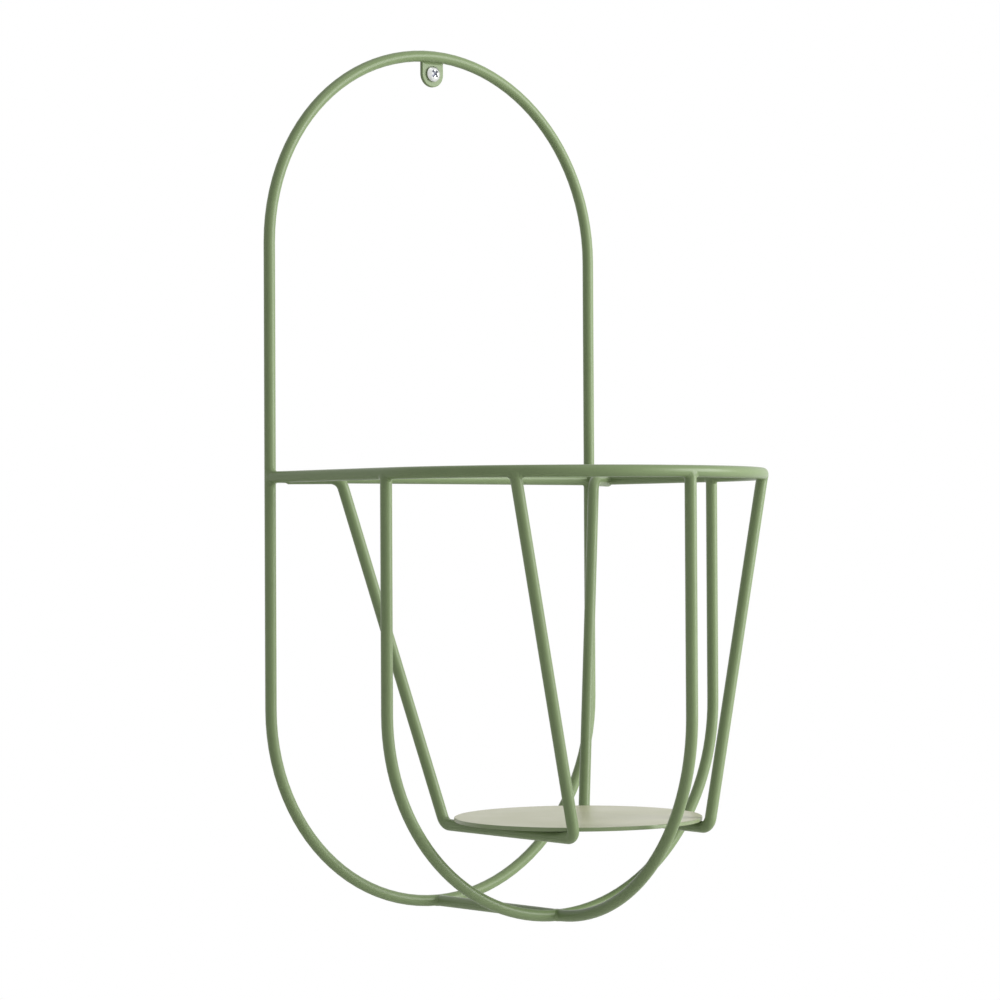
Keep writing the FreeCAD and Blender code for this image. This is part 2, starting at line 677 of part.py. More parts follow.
os.makedirs("parts", exist_ok=True)
for part_object in nodes:
    part_object.Shape.exportStep("parts/%s.step" % part_object.Label)
    box = part_object.Shape.BoundBox
    print("%-26s volume %9.1f  x %7.1f %7.1f  y %7.1f %7.1f  z %7.1f %7.1f" % (
        part_object.Label, part_object.Shape.Volume,
        box.XMin, box.XMax, box.YMin, box.YMax, box.ZMin, box.ZMax))
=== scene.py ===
import enum
import logging
import math
from dataclasses import dataclass, field
from typing import Sequence

import bmesh
import bpy
import numpy as np
from mathutils import Matrix, Vector


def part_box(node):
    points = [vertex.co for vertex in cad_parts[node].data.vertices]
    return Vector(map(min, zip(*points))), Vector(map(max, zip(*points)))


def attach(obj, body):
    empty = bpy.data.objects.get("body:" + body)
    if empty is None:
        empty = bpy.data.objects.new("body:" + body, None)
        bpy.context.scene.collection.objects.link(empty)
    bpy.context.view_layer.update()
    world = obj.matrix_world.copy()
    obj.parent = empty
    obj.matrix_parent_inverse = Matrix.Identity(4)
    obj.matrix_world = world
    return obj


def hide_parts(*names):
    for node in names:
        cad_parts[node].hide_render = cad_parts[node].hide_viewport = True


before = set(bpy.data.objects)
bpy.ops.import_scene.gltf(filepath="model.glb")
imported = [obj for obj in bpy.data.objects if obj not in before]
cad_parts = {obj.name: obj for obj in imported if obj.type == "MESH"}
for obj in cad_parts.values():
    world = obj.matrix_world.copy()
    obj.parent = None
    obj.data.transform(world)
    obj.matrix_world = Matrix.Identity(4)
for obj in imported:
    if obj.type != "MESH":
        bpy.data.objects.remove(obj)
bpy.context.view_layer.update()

# Looks of a wall-hung wire holder for one flower pot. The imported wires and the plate
# stay as they are and get their powder coat here. The welds, the hanging tongue and
# the screw are surfaces worked out below. Lengths are metres, in the row frame: +Z up,
# wall plane at Y = 0 with the wall on the +Y side, origin where the screw enters it.

MM = 0.001
LOG = logging.getLogger("wall_planter")

RIGHT = np.array([1.0, 0.0, 0.0])
TO_WALL = np.array([0.0, 1.0, 0.0])
UP = np.array([0.0, 0.0, 1.0])

Array = np.ndarray
Colour = tuple[float, float, float, float]
Material = bpy.types.Material
Node = bpy.types.Node
Socket = bpy.types.NodeSocket


class Slot(enum.Enum):
    """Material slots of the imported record."""

    GREEN_PAINT = "green_paint"
    ZINC_SCREW = "zinc_screw"


class Side(enum.Enum):
    """The two halves of the planter, as seen from the room."""

    LEFT = -1
    RIGHT = 1

    @property
    def word(self) -> str:
        """The side's name as it stands in node names."""
        return self.name.lower()


# --- small formulas


def unit(vectors: Array) -> Array:
    """Vectors of the same direction with length 1, along the last axis."""
    return vectors / np.linalg.norm(vectors, axis=-1, keepdims=True)


def circle(count: int) -> Array:
    """Angles of places that lie evenly round a circle."""
    return np.linspace(0, 2 * np.pi, count, endpoint=False)


def spokes(angles: Array, first: Array = RIGHT[:2], second: Array = TO_WALL[:2]) -> Array:
    """Unit vectors at angles from one direction towards another, flat by default."""
    return np.outer(np.cos(angles), first) + np.outer(np.sin(angles), second)


def quadratic(first: Array, control: Array, last: Array, share: Array) -> Array:
    """Points (1-t)^2 A + 2t(1-t) B + t^2 C of a curve, with t the share."""
    return (1 - share) ** 2 * first + 2 * share * (1 - share) * control + share ** 2 * last


def round_ends(place: Array, power: int) -> Array:
    """Width sqrt(1 - |x|^p) of a weld with round ends, with x from -1 to 1 along it."""
    return np.sqrt(np.clip(1 - np.abs(place) ** power, 0, None))


def ring_average(values: Array, spread: float) -> Array:
    """Gaussian average of values that lie round a closed ring.

    The ring is taken into its harmonics, and harmonic k is lowered by
    exp(-(k * spread)^2 / 2).

    Args:
        values: One row for each place round the ring.
        spread: Width of the average, as an angle in radians.

    Returns:
        An array of the same shape.
    """
    harmonics = np.fft.rfft(values, axis=0)
    order = np.arange(harmonics.shape[0]).reshape((-1,) + (1,) * (values.ndim - 1))
    lowered = harmonics * np.exp(-((order * spread) ** 2) / 2)
    return np.fft.irfft(lowered, n=values.shape[0], axis=0)


def uneven(angles: Array, seed: int, orders: Sequence[int]) -> Array:
    """Seeded waviness round a ring, about -1 to 1.

    The sum of one cosine for each order, each with its own phase and weight.

    Args:
        angles: Places round the ring, in radians.
        seed: Seed of the phases and weights.
        orders: Number of waves round the ring of each cosine.

    Returns:
        One value for each angle.
    """
    chance = np.random.default_rng(seed)
    phases = chance.uniform(0, 2 * np.pi, len(orders))
    weights = chance.uniform(0.5, 1.0, len(orders))
    waves = np.cos(np.multiply.outer(angles, np.array(orders)) + phases)
    return waves @ weights / weights.sum()


def smooth_step(values: Array) -> Array:
    """0 below 0, 1 above 1, and 3t^2 - 2t^3 between them."""
    held = np.clip(values, 0.0, 1.0)
    return held * held * (3.0 - 2.0 * held)


def link(name: str, data: bpy.types.ID) -> bpy.types.Object:
    """Make an object and put it in the scene.

    Args:
        name: Its name.
        data: Its mesh, camera or light.

    Returns:
        The new object.
    """
    made = bpy.data.objects.new(name, data)
    bpy.context.scene.collection.objects.link(made)
    return made


# --- surfaces, pieces


@dataclass
class Patch:
    """A surface on a grid of points, rows by columns.

    Attributes:
        points: Array of shape (rows, columns, 3).
        rows_closed: The last row joins the first one.
        columns_closed: The last column joins the first one.
        painted_shade: How much painted shade each point takes, from 0 to 1, or None for
            none.
    """

    points: Array
    rows_closed: bool = False
    columns_closed: bool = True
    painted_shade: Array | None = None

    def faces(self, first: int) -> Array:
        """Quads between neighbouring rows and columns.

        Args:
            first: Number of the patch's first point in the mesh.

        Returns:
            Array of shape (quads, 4) of point numbers.
        """
        rows, columns = self.points.shape[:2]
        row = np.arange(rows if self.rows_closed else rows - 1)
        column = np.arange(columns if self.columns_closed else columns - 1)
        low, left = np.meshgrid(row, column, indexing="ij")
        high, right = (low + 1) % rows, (left + 1) % columns
        corners = [low * columns + left, low * columns + right,
                   high * columns + right, high * columns + left]
        return first + np.stack(corners, axis=-1).reshape(-1, 4)


@dataclass
class Piece:
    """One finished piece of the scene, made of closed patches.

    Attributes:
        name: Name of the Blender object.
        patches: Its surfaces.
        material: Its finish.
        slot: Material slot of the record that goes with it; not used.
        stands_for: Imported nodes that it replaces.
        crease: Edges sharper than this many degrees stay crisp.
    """

    name: str
    patches: list[Patch]
    material: Material
    slot: Slot
    stands_for: tuple[str, ...] = ()
    crease: float = 50.0

    def build(self) -> None:
        """Make the mesh, dress it and let it ride on the planter."""
        counts = [patch.points[..., 0].size for patch in self.patches]
        firsts = np.concatenate([[0], np.cumsum(counts)[:-1]])
        points = np.concatenate([patch.points.reshape(-1, 3) for patch in self.patches])
        faces = np.concatenate([patch.faces(int(first))
                                for patch, first in zip(self.patches, firsts)])
        mesh = bpy.data.meshes.new(self.name)
        mesh.from_pydata(points.tolist(), [], faces.tolist())
        # Painted shade for each point, kept as a mesh attribute that the material reads.
        painted_shade = np.concatenate([
            np.zeros(count) if patch.painted_shade is None else patch.painted_shade.ravel()
            for patch, count in zip(self.patches, counts)])
        layer = mesh.attributes.new("painted_shade", "FLOAT", "POINT")
        layer.data.foreach_set("value", painted_shade.astype(np.float32))
        self.close(mesh)
        mesh.shade_smooth()
        mesh.set_sharp_from_angle(angle=math.radians(self.crease))
        mesh.materials.append(self.material)
        made = link(self.name, mesh)
        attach(made, "root")
        if self.stands_for:
            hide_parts(*self.stands_for)
        LOG.info("%-24s %6d faces, stands for %s", self.name, len(mesh.polygons),
                 ", ".join(self.stands_for) or "no node")

    @staticmethod
    def close(mesh: bpy.types.Mesh) -> None:
        """Merge the points of seams and poles, and turn all faces outwards.

        Args:
            mesh: The mesh to change.
        """
        work = bmesh.new()
        work.from_mesh(mesh)
        bmesh.ops.remove_doubles(work, verts=work.verts, dist=1e-7)
        bmesh.ops.dissolve_degenerate(work, edges=work.edges, dist=1e-8)
        bmesh.ops.recalc_face_normals(work, faces=work.faces)
        work.to_mesh(mesh)
        work.free()
        mesh.update()


# --- finishes


class Bench:
    """A material or world under construction, with short calls for its nodes."""

    def __init__(self, owner: bpy.types.ID, output: str = "OutputMaterial") -> None:
        """Start an empty node tree.

        Args:
            owner: The material or world.
            output: Kind of its output node.
        """
        self.owner = owner
        self.output = output
        owner.use_nodes = True
        self.tree = owner.node_tree
        self.tree.nodes.clear()

    def add(self, kind: str, fed: dict[str | int, object] | None = None,
            **settings: object) -> Node:
        """Add a node.

        Args:
            kind: Blender's name of its type, without the word ShaderNode.
            fed: Outputs, numbers or colours by the name or number of an input.
            settings: Properties by name.

        Returns:
            The new node.
        """
        node = self.tree.nodes.new("ShaderNode" + kind)
        for key, value in settings.items():
            setattr(node, key, value)
        for key, value in (fed or {}).items():
            if isinstance(value, Socket):
                self.tree.links.new(value, node.inputs[key])
            else:
                node.inputs[key].default_value = value
        return node

    def finish(self, shader: Node) -> bpy.types.ID:
        """Show a shader on the surface and return the material or world."""
        self.add(self.output, {"Surface": shader.outputs[0]})
        return self.owner

    def place(self) -> Socket:
        """Place on the object, in metres."""
        return self.add("TexCoord").outputs["Object"]

    def noise(self, place: Socket, scale: float, detail: float,
              rough: float = 0.5) -> Socket:
        """Noise around 0.5, with its cells per metre, finer layers and their share."""
        return self.add("TexNoise", {"Vector": place, "Scale": scale, "Detail": detail,
                                     "Roughness": rough}).outputs["Fac"]

    def spread(self, value: Socket, low: float, high: float,
               start: float = 0.3, stop: float = 0.7) -> Socket:
        """Map the values from start to stop to the range from low to high, and hold it."""
        fed = {"Value": value, "From Min": start, "From Max": stop, "To Min": low,
               "To Max": high}
        return self.add("MapRange", fed, clamp=True).outputs["Result"]

    def math(self, operation: str, first: object, second: object) -> Socket:
        """Value of two outputs or numbers under a rule, held between 0 and 1."""
        return self.add("Math", {0: first, 1: second}, operation=operation,
                        use_clamp=True).outputs[0]

    def mix(self, share: Socket, first: object, second: object) -> Socket:
        """Mix two colours, each an output or four numbers, by the second one's share."""
        return self.add("Mix", {"Factor": share, 6: first, 7: second},
                        data_type="RGBA").outputs[2]

    def blend(self, share: Socket, first: Node, second: Node) -> Node:
        """Mix two shaders by the second one's share."""
        return self.add("MixShader", {0: share, 1: first.outputs[0], 2: second.outputs[0]})

    def bump(self, height: Socket, strength: float, depth: float) -> Socket:
        """Relief from a height output, with its strength and its depth in metres."""
        return self.add("Bump", {"Height": height, "Strength": strength,
                                 "Distance": depth}).outputs["Normal"]


@dataclass(frozen=True)
class PowderCoat:
    """Semi-gloss powder coat with a fine orange peel, with painted shade in its pits.

    Attributes:
        name: Name of the material.
        thin, full: Colours where the coat is thin and where it is full, linear RGBA.
        most_full: Largest share of the full colour.
        roughness: Lowest and highest roughness.
        drift_scale: Slow change of colour, cells per metre.
        peel_scale, peel_depth, peel_strength: Cells per metre, height in metres and
            strength of the orange peel.
        pits: Peel values between which the painted shade of its pits fades out.
        pit_shade: Brightness of the painted shade in a pit, as a share of the thin coat's.
        pit_share: Share of that painted shade in the deepest pit.
        sheen_level: Specular level of the shader.
        dust: Weight of the dusty sheen that shows at a low angle.
        dust_tint: Colour of that sheen, linear RGBA.
    """

    name: str = "powder_coat_green"
    thin: Colour = (0.200, 0.270, 0.128, 1.0)
    full: Colour = (0.220, 0.292, 0.143, 1.0)
    most_full: float = 0.75
    roughness: tuple[float, float] = (0.30, 0.38)
    drift_scale: float = 34.0
    peel_scale: float = 1500.0
    peel_depth: float = 0.06 * MM
    peel_strength: float = 0.35
    pits: tuple[float, float] = (0.28, 0.46)
    pit_shade: float = 0.86
    pit_share: float = 0.5
    sheen_level: float = 0.26
    dust: float = 0.0
    dust_tint: Colour = (1.0, 0.86, 0.70, 1.0)

    def material(self) -> Material:
        """Build the node material.

        Returns:
            A material whose colour, roughness and bump follow the object's place.
        """
        bench = Bench(bpy.data.materials.new(self.name))
        place = bench.place()
        drift = bench.noise(place, self.drift_scale, 3.0)
        peel = bench.noise(place, self.peel_scale, 2.0, 0.6)
        tone = bench.mix(bench.spread(drift, 0.0, self.most_full), self.thin, self.full)
        # Painted shade: the coat's colour is darkened in the low spots of the peel's bump.
        pits = bench.spread(peel, 1.0, 0.0, *self.pits)
        pit_shade_colour = tuple(self.pit_shade * part for part in self.thin[:3]) + (1.0,)
        share = bench.math("MULTIPLY", pits, self.pit_share)
        return bench.finish(bench.add("BsdfPrincipled", {
            "Base Color": bench.mix(share, tone, pit_shade_colour),
            "Roughness": bench.spread(drift, *self.roughness),
            "Normal": bench.bump(peel, self.peel_strength, self.peel_depth),
            "Specular IOR Level": self.sheen_level,
            "Sheen Weight": self.dust,
            "Sheen Tint": self.dust_tint,
        }))


@dataclass(frozen=True)
class BrightZinc:
    """Zinc-plated steel with fine turning marks and painted shade in its recesses.

    Attributes:
        name: Name of the material.
        bright, dull, recess_shade_colour: Colours of the clean plating, of tarnished spots
            and of the painted shade in recesses, linear RGBA.
        roughness: Lowest and highest roughness.
        mark_scale: Turning marks round the screw's axis, per metre.
        recess_roughness: Roughness under full painted shade.
        mark_depth, mark_strength: Depth in metres and strength of the turning marks.
        spot_scale: Tarnished spots, cells per metre.
        spots: Noise values between which the spots fade in.
    """

    name: str = "bright_zinc"
    bright: Colour = (0.70, 0.71, 0.70, 1.0)
    dull: Colour = (0.62, 0.62, 0.60, 1.0)
    recess_shade_colour: Colour = (0.26, 0.27, 0.32, 1.0)
    roughness: tuple[float, float] = (0.26, 0.40)
    mark_scale: float = 900.0
    recess_roughness: float = 0.7
    mark_depth: float = 0.01 * MM
    mark_strength: float = 0.3
    spot_scale: float = 700.0
    spots: tuple[float, float] = (0.45, 0.75)

    def material(self) -> Material:
        """Build the node material.

        Returns:
            A metal darkened with painted shade where the mesh's painted_shade attribute
            says.
        """
        bench = Bench(bpy.data.materials.new(self.name))
        place = bench.place()
        spots = bench.noise(place, self.spot_scale, 4.0)
        # Painted shade: the recess and the thread's roots are darkened by this attribute.
        painted_shade = bench.add("Attribute", attribute_name="painted_shade").outputs["Fac"]
        marks = bench.add("TexWave", {"Vector": place, "Scale": self.mark_scale,
                                      "Distortion": 1.5},
                          wave_type="RINGS", rings_direction="Y").outputs["Fac"]
        plating = bench.mix(bench.spread(spots, 0.0, 1.0, *self.spots), self.bright,
                            self.dull)
        recess_shade_gain = bench.spread(painted_shade, 0.0, self.recess_roughness, 0.0, 1.0)
        return bench.finish(bench.add("BsdfPrincipled", {
            "Base Color": bench.mix(painted_shade, plating, self.recess_shade_colour),
            "Metallic": 1.0,
            "Roughness": bench.math("MAXIMUM", bench.spread(spots, *self.roughness),
                                    recess_shade_gain),
            "Normal": bench.bump(marks, self.mark_strength, self.mark_depth),
        }))


# --- lengths of the frame


@dataclass(frozen=True)
class Gauge:
    """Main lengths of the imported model, read from the boxes of its nodes.

    Attributes:
        wire: Radius of the wire.
        half: Half width of loop, rim and cradle, to the wire's axis.
        back, cradle: Y of the back loop's and the cradle loop's plane.
        level: Z of the rim's plane.
        front: Y of the rim's foremost axis point.
        crown, base: Z of the back loop's highest and lowest axis points.
        keel: Z of the cradle's lowest axis point.
        plate_low, plate_mid, plate_half: Z of the plate's underside, Y of its centre
            and its radius.
    """

    wire: float
    half: float
    back: float
    level: float
    front: float
    cradle: float
    crown: float
    base: float
    keel: float
    plate_low: float
    plate_mid: float
    plate_half: float

    @classmethod
    def from_frame(cls) -> "Gauge":
        """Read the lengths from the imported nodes.

        Returns:
            The gauge.
        """
        bar_low, bar_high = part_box("back_bar")
        loop_low, loop_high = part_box("back_loop")
        rim_low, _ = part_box("rim")
        cradle_low, cradle_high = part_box("cradle_loop")
        plate_low, plate_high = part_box("plate")
        wire = (bar_high.z - bar_low.z) / 2
        return cls(
            wire=wire,
            half=loop_high.x - wire,
            back=(bar_low.y + bar_high.y) / 2,
            level=(bar_low.z + bar_high.z) / 2,
            front=rim_low.y + wire,
            cradle=(cradle_low.y + cradle_high.y) / 2,
            crown=loop_high.z - wire,
            base=loop_low.z + wire,
            keel=cradle_low.z + wire,
            plate_low=plate_low.z,
            plate_mid=(plate_low.y + plate_high.y) / 2,
            plate_half=(plate_high.x - plate_low.x) / 2,
        )


@dataclass(frozen=True)
class StrutRoute:
    """Corner points of the bent struts, mirrored by the side's sign.

    Attributes:
        gauge: Lengths of the frame.
        stub_out: Strut's rear end on the rim's side, out from the back loop.
        elbow_inset, elbow_out, elbow_drop: Strut's elbow, in from the axis of the rim's
            side, out from the back loop and below the rim's plane.
        end_inset: Strut's front end, sideways in from the rim's side.
        rear_foot_inset, front_foot_inset: Bends of the chord, in from the plate's side.
        rear_foot_gap, front_foot_gap: Bends of the chord, out from the plate's edge.
    """

    gauge: Gauge
    stub_out: float = 16.5 * MM
    elbow_inset: float = 22.5 * MM
    elbow_out: float = 32.0 * MM
    elbow_drop: float = 1.0 * MM
    end_inset: float = 26.5 * MM
    rear_foot_inset: float = 17.5 * MM
    rear_foot_gap: float = 8.9 * MM
    front_foot_inset: float = 19.8 * MM
    front_foot_gap: float = 5.6 * MM

    def point(self, side: Side, across: float, out: float, height: float) -> Array:
        """A point by its distance from the middle plane and from the back loop."""
        return np.array([side.value * across, self.gauge.back - out, height])

    def stub(self, side: Side) -> Array:
        """Where the strut's rear end crosses the rim's side, below its axis."""
        return self.point(side, self.gauge.half, self.stub_out,
                          self.gauge.level - self.elbow_drop)

    def elbow(self, side: Side) -> Array:
        """Corner of the elbow next to the rim's side."""
        return self.point(side, self.gauge.half - self.elbow_inset, self.elbow_out,
                          self.gauge.level - self.elbow_drop)

    def end(self, side: Side) -> Array:
        """Where the strut's front end meets the rim's axis.

        Args:
            side: Side of the planter.

        Returns:
            A point.
        """
        across = self.gauge.half - self.end_inset
        reach = math.sqrt(self.gauge.half ** 2 - across ** 2)
        return np.array([side.value * across, self.gauge.cradle - reach,
                         self.gauge.level])

    def foot(self, side: Side, front: bool) -> Array:
        """Corner of the chord in front of the plate or behind it.

        Args:
            side: Side of the planter.
            front: Whether it is the corner in front.

        Returns:
            A point.
        """
        gauge = self.gauge
        inset = self.front_foot_inset if front else self.rear_foot_inset
        gap = self.front_foot_gap if front else self.rear_foot_gap
        across = gauge.plate_half - inset
        reach = math.sqrt(gauge.plate_half ** 2 - across ** 2) + gap
        depth = gauge.plate_mid - (reach if front else -reach)
        return np.array([side.value * across, depth, gauge.plate_low - gauge.wire])


# --- welds


@dataclass(frozen=True)
class FilletWeld:
    """Weld round the end of a wire that stands on another wire.

    With u the angle round the standing wire, K(u) is the line where the two round
    wires meet: the point P + r(cos u e + sin u b) + s n, with s such that it lies on
    the carrier. One toe of the weld, W(u), lies a leg further along the standing
    wire. The other, C(u), lies a leg further on the carrier, square to K in its
    unrolled surface. The face of the weld is the quadratic curve with control points
    W, K and C, moved outwards by swell * sin(pi t) less the sink at the toes, and a
    return path inside the metal closes it. The lines are evened out round the weld.

    Attributes:
        name: Name of the piece.
        foot: Point on the carrier's axis.
        carrier: Direction of the carrier's axis.
        root: Point on the standing wire's axis.
        wire: Direction of the standing wire, away from the carrier.
        radius: Radius of both wires.
        sag, wire_sag: Curvature of the two axes, towards their centres, per metre.
        leg: Length of the weld's legs.
        cover: Least height of the weld above a square-cut wire end.
        swell: Lift of the weld's face.
        ripple: Share of the swell that ripples.
        sink: Depth of its toes in the metal.
        under, under_seam: Depth of its hidden side, under toes and meeting line.
        lumps: Unevenness of the legs, as a share.
        seed: Seed of the unevenness.
        stations: Points round the weld.
        facets: Points across the face.
        even: Widths of the averages round the weld, in radians, by what they even out.
    """

    name: str
    foot: Array
    carrier: Array
    root: Array
    wire: Array
    radius: float
    sag: Array = field(default_factory=lambda: np.zeros(3))
    wire_sag: Array = field(default_factory=lambda: np.zeros(3))
    leg: float = 1.5 * MM
    cover: float = 0.35 * MM
    swell: float = 0.16 * MM
    ripple: float = 0.35
    sink: float = 0.06 * MM
    under: float = 0.5 * MM
    under_seam: float = 0.8 * MM
    lumps: float = 0.14
    seed: int = 1
    stations: int = 120
    facets: int = 15
    even: dict[str, float] = field(default_factory=lambda: {
        "climb": 0.16, "height": 0.08, "seam": 0.10, "outward": 0.12, "normal": 0.20})

    def patch(self) -> Patch:
        """Work out the weld's closed surface.

        Returns:
            A patch that is closed both round the wire and round its own section.
        """
        turn = circle(self.stations)
        along, out = unit(self.carrier), unit(self.wire)
        beside = unit(np.cross(out, along))
        spoke = spokes(turn, np.cross(beside, out), beside)
        start = self.root - self.foot + self.radius * spoke
        climb = self.climb(start, along, out)
        meet = start + climb[:, None] * out

        rise = unit(out - (out @ along) * along)
        across = np.cross(along, rise)
        angle = np.arctan2(meet @ across, meet @ rise)
        toe_length, toe_angle = self.step_out(meet @ along, angle, turn)
        face = spokes(toe_angle, rise, across)
        carrier_toe = (np.outer(toe_length, along) + self.radius * face
                       + np.outer(toe_length ** 2 / 2, self.sag))

        wave = 1 + self.lumps * uneven(turn, self.seed + 1, (2, 3, 5))
        height = ring_average(climb, self.even["climb"]) + self.leg * wave
        height = ring_average(np.maximum(height, self.radius + self.cover),
                              self.even["height"])
        wire_toe = (start + height[:, None] * out
                    + np.outer(np.clip(height, 0, None) ** 2 / 2, self.wire_sag))

        seam = ring_average(meet, self.even["seam"])
        outward = unit(ring_average(spoke + face, self.even["outward"]))
        share = np.linspace(0, 1, self.facets)[:, None, None]
        hump = np.sin(np.pi * share)
        ripple = 1 + self.ripple * uneven(turn, self.seed + 2, (11, 17, 23))[:, None]
        curve = quadratic(wire_toe, seam, carrier_toe, share)
        curve = curve + outward * (self.swell * hump * ripple - self.sink * (1 - hump))
        back = np.stack([carrier_toe - self.under * face,
                         seam - self.under_seam * outward,
                         wire_toe - self.under * spoke])
        return Patch(self.foot + np.concatenate([curve, back]), rows_closed=True)

    def climb(self, start: Array, along: Array, out: Array) -> Array:
        """Distance from each starting point, along the wire, to the carrier's surface.

        It solves |start + s * out|^2 = r^2 square to the carrier's axis, and where the
        wire passes beside the carrier it takes the nearest point.

        Args:
            start: Points on the wire's surface, from the carrier's axis point.
            along: Direction of the carrier.
            out: Direction of the wire.

        Returns:
            One distance for each point.
        """
        flat = start - np.outer(start @ along, along)
        lean = out - (out @ along) * along
        square, half = lean @ lean, flat @ lean
        rest = np.einsum("ij,ij->i", flat, flat) - self.radius ** 2
        root = np.sqrt(np.clip(half ** 2 - square * rest, 0, None))
        return (root - half) / square

    def step_out(self, length: Array, angle: Array, turn: Array) -> tuple[Array, Array]:
        """Move the meeting line outwards by one leg on the unrolled carrier.

        Args:
            length: Places of the line along the carrier.
            angle: Its angles round the carrier.
            turn: Angles round the standing wire.

        Returns:
            Lengths and angles of the weld's toe on the carrier.
        """
        flat = np.stack([length, self.radius * angle], axis=1)
        tangent = np.roll(flat, -1, axis=0) - np.roll(flat, 1, axis=0)
        normal = unit(np.stack([tangent[:, 1], -tangent[:, 0]], axis=1) + 1e-12)
        normal *= np.sign(np.sum(normal * (flat - flat.mean(axis=0))))
        normal = unit(ring_average(normal, self.even["normal"]))
        wave = 1 + self.lumps * uneven(turn, self.seed, (2, 3, 4, 7))
        moved = flat + self.leg * wave[:, None] * normal
        return moved[:, 0], moved[:, 1] / self.radius

@dataclass(frozen=True)
class WeldRun:
    """Straight weld run in the seam between the plate and a strut's chord.

    A round section of radius R follows the seam from end to end. R shrinks to nothing
    at the ends as sqrt(1 - |x|^5), with x from -1 to 1 along the run, and its surface
    is rippled by cos(2 pi (s - lag) / pitch), where the lag grows towards the sides
    so that the ripples are curved like scales.

    Attributes:
        name: Name of the piece.
        start, stop: Ends of its axis.
        radius: Radius of the section.
        pitch: Distance between ripples.
        ripple: Height of a ripple, as a share of the radius.
        lag: How far a ripple's sides lag behind, as a share of the pitch.
        lumps: Unevenness of the radius, as a share.
        seed: Seed of the unevenness.
        stations: Sections along the run.
        facets: Points round a section.
    """

    name: str
    start: Array
    stop: Array
    radius: float = 1.5 * MM
    pitch: float = 1.25 * MM
    ripple: float = 0.07
    lag: float = 0.5
    lumps: float = 0.06
    seed: int = 1
    stations: int = 96
    facets: int = 28

    def patch(self) -> Patch:
        """Work out the run's closed surface.

        Returns:
            A patch whose first and last rows are points.
        """
        share = (1 - np.cos(np.linspace(0, np.pi, self.stations))) / 2
        turn = circle(self.facets)
        line = self.stop - self.start
        length = float(np.linalg.norm(line))
        along = line / length
        side = unit(np.cross(along, UP))
        lag = self.lag * self.pitch * np.abs(np.sin(turn))
        scales = np.cos(2 * np.pi * (share[:, None] * length - lag) / self.pitch)
        wander = uneven(2 * np.pi * share, self.seed, (1, 2, 3))[:, None]
        size = self.radius * round_ends(2 * share - 1, 5)[:, None] * (
            1 + self.ripple * scales + self.lumps * wander)
        middle = self.start + share[:, None, None] * line
        return Patch(middle + size[:, :, None] * spokes(turn, side, np.cross(side, along)))


Placed = tuple[FilletWeld | WeldRun, tuple[str, ...]]


